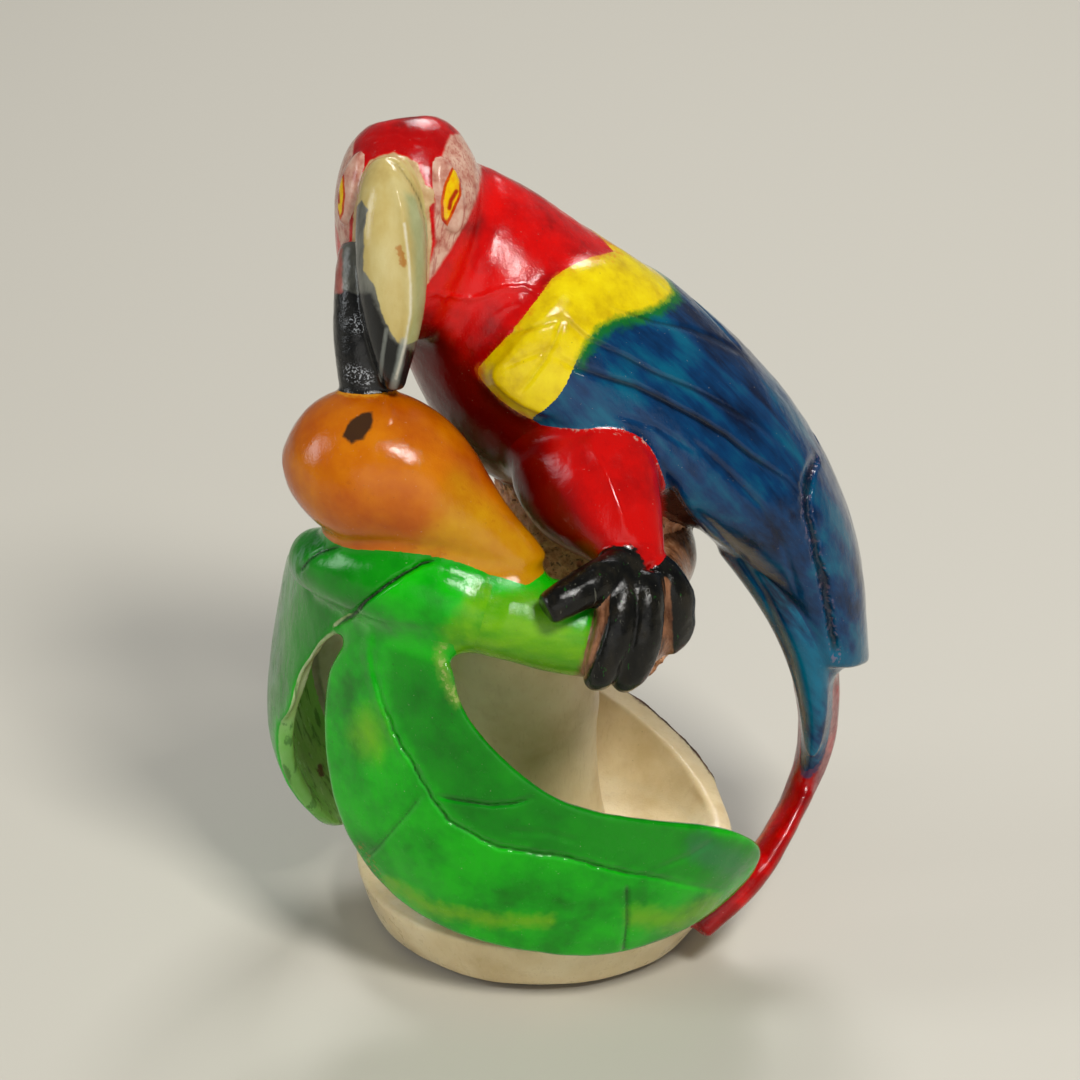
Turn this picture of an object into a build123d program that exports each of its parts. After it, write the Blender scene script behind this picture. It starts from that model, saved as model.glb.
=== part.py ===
from build123d import *
import math
import os

# A carved and painted macaw figurine, cut from one ivory-palm nut. The bird perches on a branch
# and bites a fruit, a long leaf curls round the front, and the nut's foot is left as the base.
# Millimetres. X runs to the right, Y away from the front, Z up.
# The origin is the centre of the flat face that the figurine stands on.

# ---- driving dimensions -------------------------------------------------------------------
LEAN = 27.0             # the front outlines are drawn square to a direction this far above the horizon
PLANE_Y, PLANE_Z = -10.7, 32.85     # a point on that leaning working plane
BASE_INSET = 1.2        # the base and the back wall lie this far inside the nut's own surface
LEAF_THICKNESS = 1.6
WALL_THICKNESS = 2.6
SKIN_THICKNESS = 0.5    # the nut's brown skin, left on the back wall and under the foot
FOOT_RADIUS = 10.2
BIRD_Y = 1.0            # the bird's own mid-plane, between its wings
WING_THICKNESS = 1.2    # how far the folded wings stand out from the torso's sides
WING_OVER_BACK = 0.6    # and from its back
SPREAD = 40.0           # longer than anything it cuts

# The nut's own surface as level ellipses: height, centre x, centre y, half width, half depth.
NUT = [
    (0.0, 0.0, 0.0, 11.6, 12.0),
    (2.0, 0.1, 0.0, 12.9, 13.2),
    (5.0, 0.6, 0.0, 14.4, 14.4),
    (10.0, 1.0, 0.1, 17.5, 15.8),
    (16.0, 1.2, 0.3, 19.1, 16.8),
    (22.0, 1.4, 0.4, 18.5, 17.2),
    (28.0, 1.4, 0.2, 17.2, 16.9),
    (35.0, 1.0, 0.0, 15.2, 15.2),
]

# The torso from its side: back x, back z, belly x, belly z, half depth.
TORSO = [
    (-5.4, 53.6, -9.8, 45.6, 3.6),
    (-2.0, 52.0, -9.4, 42.2, 5.2),
    (2.2, 49.0, -7.6, 38.0, 7.0),
    (6.6, 45.3, -4.6, 33.4, 8.0),
    (11.0, 41.3, 1.0, 31.0, 8.0),
    (15.0, 36.8, 6.4, 30.2, 7.2),
    (18.0, 32.0, 10.8, 28.6, 5.8),
]
# The wings cover the torso from its third section on, and reach further down than it does.
WING_ENDS = [
    (19.9, 26.8, 14.2, 25.4, 4.4),
    (21.0, 18.0, 17.8, 17.6, 2.6),
]

# ---- shared helpers -----------------------------------------------------------------------


def oval(plane, half_width, half_height):
    """An oval face whose seam always lies on the plane's x axis, so that lofts do not twist."""
    with BuildSketch(plane) as sketch:
        with BuildLine():
            around = [math.radians(angle) for angle in range(0, 360, 45)]
            points = [(half_width * math.cos(a), half_height * math.sin(a)) for a in around]
            Spline(*points, periodic=True)
        make_face()
    return sketch.sketch


def nut_body(inset):
    """The nut as a solid, cut down by inset all round."""
    with BuildPart() as made:
        for height, x, y, half_width, half_depth in NUT:
            add(oval(Plane(origin=(x, y, height)), half_width - inset, half_depth - inset))
        loft()
    return made.part


def limb(stations, grow=0):
    """A rounded limb. Each station is x, y, z, half height, half depth, square to its centreline."""
    points = [Vector(*station[:3]) for station in stations]
    ends = zip(points[:1] + points[:-1], points[1:] + points[-1:])
    with BuildPart() as made:
        for point, (before, after), station in zip(points, ends, stations):
            along = (after - before).normalized()
            side = Vector(0, 1, 0) if abs(along.Y) < 0.85 else Vector(0, 0, 1)
            depth = (side - along * side.dot(along)).normalized()
            plane = Plane(origin=point, x_dir=depth, z_dir=along)
            add(oval(plane, station[4] + grow, station[3] + grow))
        loft()
    return made.part


def flank(sections, deepen=0, heighten=0):
    """The bird's body through its side sections, made deeper and higher all along."""
    with BuildPart() as made:
        for back_x, back_z, belly_x, belly_z, half_depth in sections:
            back, belly = Vector(back_x, BIRD_Y, back_z), Vector(belly_x, BIRD_Y, belly_z)
            across = (back - belly).normalized()
            forward = across.cross(Vector(0, 1, 0))
            plane = Plane(origin=(back + belly) / 2, x_dir=(0, 1, 0), z_dir=forward)
            add(oval(plane, half_depth + deepen, (back - belly).length / 2 + heighten))
        loft()
    return made.part


def blade(outline, plane):
    """A closed smooth outline on a plane, extruded both ways."""
    with BuildPart() as made:
        with BuildSketch(plane):
            with BuildLine():
                Spline(*outline, periodic=True)
            make_face()
        extrude(amount=SPREAD, both=True)
    return made.part


def without(solid, *others):
    """A solid with its neighbours cut out of it, so that they meet face to face."""
    with BuildPart() as made:
        add(solid)
        for other in others:
            add(other, mode=Mode.SUBTRACT)
    return made.part


def overlap(*solids):
    """What several solids have in common."""
    with BuildPart() as made:
        add(solids[0])
        for other in solids[1:]:
            add(other, mode=Mode.INTERSECT)
    return made.part


def half(solid, origin, normal):
    """The half of a solid that lies on the side its cutting plane's normal points to."""
    with BuildPart() as made:
        add(solid)
        split(bisect_by=Plane(origin=origin, z_dir=normal), keep=Keep.TOP)
    return made.part


def main_piece(solid):
    """The largest body of a solid, without the slivers that its cuts left behind."""
    with BuildPart() as made:
        add(solid.solids().sort_by(SortBy.VOLUME)[-1])
    return made.part


def other_side(solid):
    """The solid's mirror image on the other side of the bird."""
    with BuildPart() as made:
        mirror(solid, about=Plane(origin=(0, BIRD_Y, 0), z_dir=(0, 1, 0)))
    return made.part


lean = math.radians(LEAN)
FRONT = Plane(
    origin=(0, PLANE_Y, PLANE_Z), x_dir=(1, 0, 0), z_dir=(0, -math.cos(lean), math.sin(lean))
)
nodes = {}      # every finished piece by its name

# ---- base, back wall and the nut's brown skin -----------------------------------------------

FLOOR = 4.4             # height of the base's upper edge
DISH_DEPTH = 1.2        # how far the floor inside that edge is hollowed
DISH_RADIUS = 11.0
RIM_POINT = (3.4, 12.0, 10.2)
RIM_NORMAL = (-0.43, 0.08, -0.9)    # the wall's rim falls away to the right
WALL_NORMAL = (0.3, 1.0, 0.0)       # the wall stands on the base's back half only

nut_core = nut_body(BASE_INSET)

with BuildPart() as foot_skin:
    with BuildSketch(Plane.XY):
        Circle(FOOT_RADIUS)
    extrude(amount=SKIN_THICKNESS)
nodes["foot_skin"] = foot_skin.part

with BuildPart() as base:
    add(nut_core)
    split(bisect_by=Plane.XY.offset(FLOOR), keep=Keep.BOTTOM)
    split(bisect_by=Plane.XY.offset(SKIN_THICKNESS), keep=Keep.TOP)
    with BuildSketch(Plane.XZ):
        with BuildLine():
            ThreePointArc(
                (0, FLOOR - DISH_DEPTH), (DISH_RADIUS * 0.6, FLOOR - DISH_DEPTH * 0.64), (DISH_RADIUS, FLOOR)
            )
            Polyline((DISH_RADIUS, FLOOR), (0, FLOOR), (0, FLOOR - DISH_DEPTH))
        make_face()
    revolve(axis=Axis.Z, mode=Mode.SUBTRACT)
nodes["base"] = base.part

wall_shell = without(nut_core, nut_body(BASE_INSET + WALL_THICKNESS))
wall_shell = half(wall_shell, RIM_POINT, RIM_NORMAL)
wall_shell = half(wall_shell, (0, 1.5, 0), WALL_NORMAL)
wall_shell = half(wall_shell, (0, 0, FLOOR), (0, 0, 1))
under_skin = nut_body(BASE_INSET + SKIN_THICKNESS)
nodes["wall_skin"] = without(wall_shell, under_skin)
nodes["back_wall"] = overlap(wall_shell, under_skin)

# ---- stump, post and branch -------------------------------------------------------------------

STUMP = [
    (6.4, 2.4, 17.2, 1.6, 1.6),
    (5.6, 2.0, 19.4, 3.6, 3.6),
    (4.4, 1.2, 22.8, 5.0, 5.0),
    (3.6, 0.4, 26.6, 5.8, 5.8),
    (3.4, 0.0, 30.2, 6.2, 6.2),
    (3.4, 0.0, 34.0, 5.8, 5.6),
]
POST = [
    (-1.8, 2.4, 2.6, 7.2, 6.2),
    (-1.8, 2.2, 6.6, 6.0, 5.0),
    (-1.6, 1.2, 13.0, 5.4, 4.2),
    (-1.4, -0.2, 20.0, 5.2, 4.4),
    (-1.4, -2.4, 26.4, 4.6, 4.6),
]
BRANCH = [
    (-3.8, -12.6, 29.2, 3.0, 3.1),
    (-0.8, -13.2, 28.6, 2.8, 3.0),
    (2.2, -13.2, 27.9, 2.9, 3.0),
    (5.0, -12.2, 27.5, 2.9, 3.0),
    (6.4, -9.2, 27.4, 2.7, 2.8),
    (7.0, -4.4, 27.4, 2.6, 2.7),
    (7.0, 2.0, 27.4, 2.6, 2.7),
    (6.4, 7.0, 27.6, 2.6, 2.7),
    (4.6, 10.4, 28.0, 2.0, 2.0),
]
LEAF_JOINT = [
    (-14.4, -6.6, 29.6, 1.8, 1.8),
    (-12.4, -9.4, 30.4, 2.5, 2.4),
    (-9.0, -11.6, 30.5, 3.0, 2.7),
    (-5.6, -12.5, 29.8, 3.1, 3.0),
    (-3.4, -12.7, 29.1, 3.0, 3.1),
]
FRUIT = [
    (-15.7, -8.4, 36.6, 1.4, 1.4),
    (-14.0, -8.6, 37.0, 3.7, 3.6),
    (-11.0, -9.0, 37.2, 5.0, 4.8),
    (-7.8, -9.8, 36.2, 4.6, 4.4),
    (-5.0, -10.8, 34.4, 3.2, 3.1),
    (-2.6, -11.6, 32.6, 2.3, 2.3),
    (-1.0, -12.2, 30.8, 2.0, 2.0),
]

stump = limb(STUMP)
leaf_joint = limb(LEAF_JOINT)
post = without(limb(POST), base.part, stump)
branch = without(limb(BRANCH), stump, post, leaf_joint)
fruit = without(limb(FRUIT), leaf_joint, branch, stump)
nodes.update(stump=stump, leaf_joint=leaf_joint, post=post, branch=branch, fruit=fruit)

# ---- leaves -----------------------------------------------------------------------------------

FRONT_LEAF = [
    (-6.3, -3.2),
    (-9.6, -4.4),
    (-12.6, -6.6),
    (-13.7, -10.6),
    (-13.0, -17.0),
    (-10.1, -22.2),
    (-3.4, -25.8),
    (5.0, -26.5),
    (11.5, -23.8),
    (14.3, -20.2),
    (7.1, -17.6),
    (1.2, -16.2),
    (-3.5, -12.3),
    (-5.4, -7.5),
]
SIDE_LEAF_FRONT = [     # the upper part, seen along the leaning direction
    (-15.4, -2.0),
    (-11.0, 0.4),
    (-6.6, -1.2),
    (-7.0, -3.4),
    (-10.2, -4.6),
    (-13.4, -6.6),
    (-15.2, -8.6),
    (-16.4, -11.6),
    (-19.0, -12.0),
    (-19.0, -6.0),
]
SIDE_LEAF = [           # the hanging part, seen from the left end
    (-7.5, 29.4),
    (-6.5, 23.5),
    (-5.0, 17.5),
    (-3.0, 11.5),
    (-0.6, 6.6),
    (4.2, 5.0),
    (9.8, 8.8),
    (12.2, 15.0),
    (10.0, 21.0),
    (3.6, 25.0),
    (-4.0, 28.4),
]

leaf_shell = without(nut_body(0), nut_body(LEAF_THICKNESS), nut_core)
front_shell = half(leaf_shell, (0, -3.0, 0), (0, -1, 0))
left_shell = half(leaf_shell, (-8.0, 0, 0), (-1, 0, 0))
front_leaf = without(overlap(front_shell, blade(FRONT_LEAF, FRONT)), leaf_joint)

with BuildPart() as side_leaf:
    add(overlap(front_shell, blade(SIDE_LEAF_FRONT, FRONT)))
    add(overlap(left_shell, blade(SIDE_LEAF, Plane.YZ)))
    for solid in (leaf_joint, front_leaf, fruit):
        add(solid, mode=Mode.SUBTRACT)
nodes.update(front_leaf=front_leaf, side_leaf=main_piece(side_leaf.part))

# ---- head, bill and eyes ------------------------------------------------------------------------

HEAD = [
    (-8.6, 0.4, 56.4, 2.0, 2.2),
    (-8.4, -0.2, 55.2, 3.6, 4.0),
    (-8.2, -0.8, 53.0, 4.5, 5.0),
    (-8.1, -1.4, 49.8, 4.7, 5.2),
    (-8.2, -1.8, 46.6, 4.2, 4.6),
    (-8.4, -2.0, 43.8, 3.2, 3.6),
]
UPPER_BILL = [
    (-9.3, -4.0, 55.2, 1.2, 1.6),
    (-9.2, -5.8, 53.6, 2.0, 2.2),
    (-9.1, -7.2, 50.8, 2.2, 2.2),
    (-9.0, -8.2, 47.8, 2.0, 1.9),
    (-9.0, -9.0, 44.8, 1.3, 1.3),
    (-8.9, -9.4, 42.6, 0.6, 0.6),
]
LOWER_BILL = [
    (-11.4, -4.2, 50.0, 1.0, 1.4),
    (-11.2, -5.8, 47.0, 1.6, 1.8),
    (-10.9, -7.2, 44.0, 1.8, 1.7),
    (-10.6, -8.0, 41.0, 1.6, 1.4),
]
EYE_HEIGHT = 53.6
EYE_PROUD = 0.35        # how far the eyes stand out of the head
EYES = {"left_eye": (-5.5, -5.0, -52), "right_eye": (-12.0, -4.0, -144)}   # x, y, facing angle

head = limb(HEAD)
upper_bill = without(limb(UPPER_BILL), head, fruit)
lower_bill = without(limb(LOWER_BILL), head, fruit, upper_bill)
nodes.update(head=head, upper_bill=upper_bill, lower_bill=lower_bill)

for name, (x, y, turn) in EYES.items():
    outward = Vector(math.cos(math.radians(turn)), math.sin(math.radians(turn)), 0)
    with BuildPart() as eye_prism:
        with BuildSketch(Plane(origin=(x, y, EYE_HEIGHT), x_dir=(0, 0, 1), z_dir=outward)):
            Ellipse(2.2, 0.95)
        extrude(amount=2, both=True)
    nodes[name] = without(overlap(eye_prism.part, limb(HEAD, EYE_PROUD)), head)

# ---- torso, wings and tail ------------------------------------------------------------------------

WING = [
    (-3.9, 11.4),
    (-0.6, 14.9),
    (6.2, 18.2),
    (12.4, 16.4),
    (18.4, 12.0),
    (22.8, 6.0),
    (24.0, -1.2),
    (22.4, -7.4),
    (19.3, -8.3),
    (17.0, -7.2),
    (15.3, -3.8),
    (9.9, 1.1),
    (6.5, 5.7),
    (0.6, 7.4),
    (-3.1, 9.6),
]
SHOULDER = [            # the small feathers at the top of each wing
    (-4.6, 11.2),
    (-1.0, 15.4),
    (4.4, 19.0),
    (9.0, 17.0),
    (7.6, 14.8),
    (4.0, 13.4),
    (2.4, 11.4),
    (1.2, 9.0),
    (-0.8, 7.6),
    (-3.6, 8.8),
]
TRIM_POINT = (4.3, -2.0, 49.8)      # the right shoulder stays below the line of the back here
TRIM_NORMAL = (-0.56, -0.38, -0.74)
TAIL = [
    (16.2, 1.0, 25.5, 1.7, 3.2),
    (17.8, 1.0, 20.0, 1.6, 3.0),
    (18.3, 0.8, 14.5, 1.4, 2.7),
    (17.8, -0.2, 11.0, 1.0, 2.2),
    (16.4, -2.2, 8.4, 0.8, 1.7),
    (14.4, -5.0, 6.2, 0.9, 1.5),
    (12.0, -7.4, 4.4, 0.9, 1.2),
    (10.4, -8.6, 3.2, 0.7, 0.9),
]
TAIL_COVERTS = [
    (13.0, -0.6, 28.5, 2.0, 3.4),
    (15.6, -1.2, 24.5, 1.8, 3.0),
    (17.3, -1.7, 20.0, 1.4, 2.4),
    (17.9, -1.9, 15.5, 1.0, 1.8),
    (17.6, -2.0, 11.2, 0.4, 0.8),
]

torso = without(flank(TORSO), head, stump, branch, lower_bill, fruit)
wing_envelope = flank([*TORSO[2:], *WING_ENDS], WING_THICKNESS, WING_OVER_BACK)
wings = overlap(wing_envelope, blade(WING, FRONT))
whole_wing = main_piece(without(half(wings, (0, BIRD_Y, 0), (0, -1, 0)), flank(TORSO), head))
left_shoulder = overlap(whole_wing, blade(SHOULDER, FRONT))
left_wing = main_piece(without(whole_wing, blade(SHOULDER, FRONT)))
right_shoulder = without(other_side(left_shoulder), torso)
right_shoulder = main_piece(half(right_shoulder, TRIM_POINT, TRIM_NORMAL))
right_wing = main_piece(without(other_side(left_wing), torso))
tail = main_piece(without(limb(TAIL), base.part, front_leaf, torso, left_wing, right_wing))
tail_coverts = main_piece(without(limb(TAIL_COVERTS), torso, left_wing, right_wing, tail, stump))
nodes.update(torso=torso, tail=tail, tail_coverts=tail_coverts)
nodes.update(left_shoulder=left_shoulder, right_shoulder=right_shoulder)
nodes.update(left_wing=left_wing, right_wing=right_wing)

# ---- thighs and feet ------------------------------------------------------------------------------

THIGH = [
    (2.4, -4.2, 37.0, 4.4, 3.3),
    (2.8, -6.9, 35.7, 4.6, 3.5),
    (4.3, -9.3, 34.1, 3.8, 3.2),
    (5.5, -11.2, 32.6, 2.4, 2.3),
    (6.0, -12.0, 31.3, 1.9, 1.9),
]
# Each toe goes from the ankle over the branch, as x, y, z and radius.
TOES = [
    [(5.4, -12.6, 32.2, 1.4), (3.4, -14.8, 32.0, 1.3), (1.6, -16.0, 31.5, 1.2), (0.3, -16.6, 31.0, 1.0)],
    [(5.0, -13.4, 31.6, 1.3), (4.7, -15.6, 30.0, 1.3), (4.1, -16.4, 27.8, 1.2), (3.3, -15.8, 25.4, 0.7)],
    [(6.2, -13.2, 31.6, 1.3), (6.4, -15.2, 29.8, 1.3), (6.0, -15.8, 27.4, 1.2), (5.0, -15.2, 25.0, 0.7)],
    [(6.8, -11.8, 31.4, 1.4), (8.1, -12.4, 29.8, 1.5), (8.3, -12.0, 27.8, 1.4), (7.6, -11.8, 25.8, 0.9)],
]

for side in ("left", "right"):
    thigh = limb(THIGH) if side == "left" else other_side(limb(THIGH))
    thigh = without(thigh, torso, stump, branch, nodes[f"{side}_wing"], nodes[f"{side}_shoulder"])
    nodes[f"{side}_thigh"] = thigh
    neighbours = [thigh, branch, stump]
    for number, toe_stations in enumerate(TOES, 1):
        toe = limb([(*station, station[3]) for station in toe_stations])
        toe = without(toe if side == "left" else other_side(toe), *neighbours)
        nodes[f"{side}_toe_{number}"] = toe
        neighbours.append(toe)

# ---- files ----------------------------------------------------------------------------------------

os.makedirs("parts", exist_ok=True)
for name, part in nodes.items():
    part.label = name
    export_step(part, f"parts/{name}.step")
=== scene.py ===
import math

import bpy
import numpy as np
import openvdb
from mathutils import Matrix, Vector


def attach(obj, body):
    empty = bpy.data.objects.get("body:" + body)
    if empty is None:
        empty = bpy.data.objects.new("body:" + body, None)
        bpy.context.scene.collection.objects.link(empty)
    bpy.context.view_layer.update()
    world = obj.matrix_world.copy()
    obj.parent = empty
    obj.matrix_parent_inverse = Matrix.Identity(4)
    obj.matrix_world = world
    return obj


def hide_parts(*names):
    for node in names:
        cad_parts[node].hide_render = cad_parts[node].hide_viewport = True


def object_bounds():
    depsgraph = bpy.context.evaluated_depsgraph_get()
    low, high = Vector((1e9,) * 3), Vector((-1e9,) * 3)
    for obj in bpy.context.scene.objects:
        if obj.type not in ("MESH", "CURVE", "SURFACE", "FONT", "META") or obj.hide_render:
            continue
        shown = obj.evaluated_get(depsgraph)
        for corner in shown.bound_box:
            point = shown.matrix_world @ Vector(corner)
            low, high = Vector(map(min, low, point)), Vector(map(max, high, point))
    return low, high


# The CAD solids are turned into distance fields, joined and smoothed as one carved body, engraved, and cut
# again along the borders between them. Every painted feature so becomes its own closed piece. Lengths are
# millimetres in the row frame, and a mesh is scaled to metres when it is made. Metres are used only where
# Blender takes them directly: camera clipping, bump and subsurface distances, and the floor.

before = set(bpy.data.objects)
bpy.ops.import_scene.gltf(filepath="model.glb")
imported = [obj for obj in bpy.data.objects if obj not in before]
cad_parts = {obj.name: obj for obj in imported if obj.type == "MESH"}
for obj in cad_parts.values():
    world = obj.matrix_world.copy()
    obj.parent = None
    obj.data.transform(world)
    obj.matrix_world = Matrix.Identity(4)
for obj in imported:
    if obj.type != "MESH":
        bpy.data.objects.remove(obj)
cad_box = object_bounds()
CAD_LOW = np.array(cad_box[0]) * 1000
CAD_HIGH = np.array(cad_box[1]) * 1000

VOXEL = 0.14
MARGIN = 2.5            # of the lattice around the CAD box
BAND = 1.4              # distances are known this far from a surface
SOFTEN = 0.2            # blur of the whole carving
SOFTEN_WIDE = 0.7       # blur where carved forms run into each other
MELT_REACH = 1.35       # the wider blur acts where both forms are this near
MELT_FADE = 0.7         # and fades out over this
CARVE_REACH = 0.75      # engraving changes the field this far from the surface
DARKEST_CUT_DEPTH = 0.26      # cuts this deep are darkened the most
LAP = 0.45 * VOXEL      # how far neighbouring pieces run under each other
TUCK = 0.03             # and how deep
ON_BODY = 0.6 * VOXEL   # points nearer than this to the surface, or to a border, belong on it
ON_EDGE = 0.5 * VOXEL
MASK_LIMIT = 2.0        # masks of the front chart hold no larger distance
CRUMB = 0.2             # shells smaller than this share of the largest one are dropped
GRAZING = 0.05          # what looks this little to the front is not engraved
GRAZING_FADE = 0.15
SNAP_STEPS = 3          # of moving points onto the surface, each up to
SNAP_LIMIT = 0.1
ROOT_2PI = math.sqrt(2 * math.pi)

# Visual piece: the CAD nodes that it stands for, the record's material slot, and its paint.
PIECES = {
    "plumage": (["head", "torso"], "red_paint", "plumage"),
    "thigh_left": (["left_thigh"], "red_paint", "thigh"),
    "thigh_right": (["right_thigh"], "red_paint", "thigh"),
    "tail_feathers": (["tail"], "red_paint", "tail"),
    "coverts": (["tail_coverts"], "blue_paint", "coverts"),
    "wing_left": (["left_wing"], "blue_paint", "wing"),
    "wing_right": (["right_wing"], "blue_paint", "wing"),
    "shoulder_left": (["left_shoulder"], "yellow_paint", "shoulder"),
    "shoulder_right": (["right_shoulder"], "yellow_paint", "shoulder"),
    "bill_upper": (["upper_bill"], "bill_paint", "bill"),
    "bill_lower": (["lower_bill"], "black_paint", "lower_bill"),
    "eye_left": (["left_eye"], "eye_paint", "eye"),
    "eye_right": (["right_eye"], "eye_paint", "eye"),
    "fruit_carved": (["fruit"], "orange_paint", "fruit"),
    "leaf_front": (["front_leaf"], "green_paint", "leaf"),
    "leaf_side": (["side_leaf"], "green_paint", "side_leaf"),
    "leaf_knot": (["leaf_joint"], "green_paint", "knot"),
    "branch_carved": (["branch"], "branch_paint", "branch"),
    "stump_bark": (["stump"], "bark", "bark"),
    "nut_base": (["base"], "bare_ivory", "nut_base"),
    "nut_wall": (["back_wall"], "bare_ivory", "nut_wall"),
    "nut_post": (["post"], "bare_ivory", "nut_post"),
    "skin_foot": (["foot_skin"], "nut_skin", "nut_skin"),
    "skin_wall": (["wall_skin"], "nut_skin", "nut_skin"),
}
for side in ("left", "right"):
    for n in (1, 2, 3, 4):
        PIECES[f"claw_{side}_{n}"] = ([f"{side}_toe_{n}"], "black_paint", "claw")
NODES = [node for nodes, _, _ in PIECES.values() for node in nodes]

# The front view: a chart that most carving lines and paint borders are drawn in, as (right, up).
TARGET = np.array([0.0, 0.0, 27.4])
ELEVATION = math.radians(27)
DISTANCE = 330.0
VIEW_WIDTH = 69.68
SENSOR = 36.0
UP = np.array([0, math.sin(ELEVATION), math.cos(ELEVATION)])
BACK = np.array([0, -math.cos(ELEVATION), math.sin(ELEVATION)])
EYE_POINT = TARGET + DISTANCE * BACK

# The bird's own mirror planes, each a point and a normal towards the side that faces the viewer.
BODY_FOLD = (np.array([0.0, 1.0, 0.0]), np.array([0.0, -1.0, 0.0]))
HEAD_FOLD = (np.array([-8.6, -1.5, 0.0]), np.array([0.990, -0.139, 0.0]))


# ---------------------------------------------------------------- charts and noise


def fold(points, plane):
    """Points behind the mirror plane are reflected to its near side."""
    if plane is None:
        return points
    through, normal = plane
    depth = (points - through) @ normal
    return points - np.minimum(depth, 0)[:, None] * 2 * normal


def chart(points, plane=None):
    """(right, up) of points as seen from the front."""
    away = fold(points, plane) - EYE_POINT
    scale = DISTANCE / (away @ -BACK)
    return np.stack([away[:, 0] * scale, (away @ UP) * scale], 1)


def to_line(places, line):
    """Distance from each place to an open line, and how far along it the nearest point is, 0 to 1."""
    line = np.array(line, float)
    best = np.full(len(places), 1e9)
    along = np.zeros(len(places))
    lengths = np.linalg.norm(np.diff(line, axis=0), axis=1)
    run = np.concatenate([[0], np.cumsum(lengths)]) / lengths.sum()
    for k in range(len(line) - 1):
        step = line[k + 1] - line[k]
        t = np.clip(((places - line[k]) @ step) / (step @ step), 0, 1)
        gap = np.linalg.norm(places - line[k] - t[:, None] * step, axis=1)
        nearer = gap < best
        best[nearer] = gap[nearer]
        along[nearer] = (run[k] + t * (run[k + 1] - run[k]))[nearer]
    return best, along


def inside(places, outline):
    """Distance to a closed outline, positive inside it."""
    outline = np.array(outline, float)
    gap, _ = to_line(places, np.vstack([outline, outline[:1]]))
    within = np.zeros(len(places), bool)
    x, y = places[:, 0], places[:, 1]
    for (x0, y0), (x1, y1) in zip(outline, np.roll(outline, -1, axis=0)):
        if y0 == y1:
            continue
        crosses = (y0 > y) != (y1 > y)
        within ^= crosses & (x < x0 + (y - y0) * (x1 - x0) / (y1 - y0))
    return np.where(within, gap, -gap)


def speckle(points, size, seed):
    """Smooth random values from -1 to 1 that change over size millimetres."""
    side = 32
    table = np.random.default_rng(seed).uniform(-1, 1, (side, side, side)).astype(np.float32)
    place = points / size
    base = np.floor(place).astype(np.int32)
    part = (place - base).astype(np.float32)
    part = part * part * (3 - 2 * part)
    total = np.zeros(len(points), np.float32)
    for corner in range(8):
        bits = np.array([corner & 1, corner >> 1 & 1, corner >> 2 & 1])
        weight = np.prod(np.where(bits, part, 1 - part), axis=1)
        at = (base + bits) % side
        total += weight * table[at[:, 0], at[:, 1], at[:, 2]]
    return total


# ---------------------------------------------------------------- fields

ORIGIN = np.floor((CAD_LOW - MARGIN) / VOXEL).astype(int)
SHAPE = np.ceil((CAD_HIGH + MARGIN) / VOXEL).astype(int) - ORIGIN
FAR = np.float32(BAND)
LATTICE = openvdb.createLinearTransform(voxelSize=VOXEL)


def smooth(field, sigma):
    """The field blurred by a Gaussian of sigma millimetres, one axis after the other."""
    reach = max(1, math.ceil(2.6 * sigma / VOXEL))
    steps = np.arange(-reach, reach + 1) * VOXEL
    weights = np.exp(-0.5 * (steps / sigma) ** 2)
    weights /= weights.sum()
    for axis in range(3):
        length = field.shape[axis]
        padded = np.pad(field, [(reach, reach) if a == axis else (0, 0) for a in range(3)], mode="edge")
        total = np.zeros_like(field)
        for k, weight in enumerate(weights):
            part = [slice(None)] * 3
            part[axis] = slice(k, k + length)
            total += np.float32(weight) * padded[tuple(part)]
        field = total
    return field


def to_field(points, first, last, triangles=None, quads=None):
    """Signed distance to a closed mesh, as an array over the cells from first to last."""
    grid = openvdb.FloatGrid.createLevelSetFromPolygons(
        points.astype(np.float32), triangles=triangles, quads=quads, transform=LATTICE, halfWidth=BAND / VOXEL
    )
    values = np.empty(tuple(int(c) for c in last - first), np.float32)
    grid.copyToArray(values, ijk=tuple(int(c) for c in first))
    return values


def node_field(node):
    """Signed distance of one CAD node, in the part of the lattice around it: (first cell, array)."""
    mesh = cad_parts[node].data
    mesh.calc_loop_triangles()
    points = np.empty(len(mesh.vertices) * 3, np.float32)
    mesh.vertices.foreach_get("co", points)
    corners = np.empty(len(mesh.loop_triangles) * 3, np.int32)
    mesh.loop_triangles.foreach_get("vertices", corners)
    points = points.reshape(-1, 3) * np.float32(1000)
    first = np.maximum(np.floor((points.min(0) - BAND) / VOXEL).astype(int) - 1, ORIGIN)
    last = np.minimum(np.ceil((points.max(0) + BAND) / VOXEL).astype(int) + 2, ORIGIN + SHAPE)
    return first, to_field(points, first, last, triangles=corners.reshape(-1, 3).astype(np.uint32))


def cut_out(first, shape, outer_first):
    """Slices that take the box (first, shape) out of an array whose first cell is outer_first."""
    return tuple(slice(int(a - b), int(a - b + n)) for a, b, n in zip(first, outer_first, shape))


def shared_box(first_a, shape_a, first_b, shape_b):
    """Slices of the cells that two boxes share, in each of them, or None."""
    low = np.maximum(first_a, first_b)
    high = np.minimum(first_a + np.array(shape_a), first_b + np.array(shape_b))
    if (high <= low).any():
        return None
    return cut_out(low, high - low, first_a), cut_out(low, high - low, first_b)


def largest_shells(points, quads):
    """The mesh without crumbs that are much smaller than its largest shell."""
    label = np.arange(len(points))
    while True:
        lowest = label[quads].min(1)
        new = label.copy()
        for k in range(4):
            np.minimum.at(new, quads[:, k], lowest)
        new = new[new]
        if (new == label).all():
            break
        label = new
    names, counts = np.unique(label, return_counts=True)
    kept = np.isin(label, names[counts > CRUMB * counts.max()])
    index = np.cumsum(kept) - 1
    return points[kept], index[quads[kept[quads[:, 0]]]]


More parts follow.
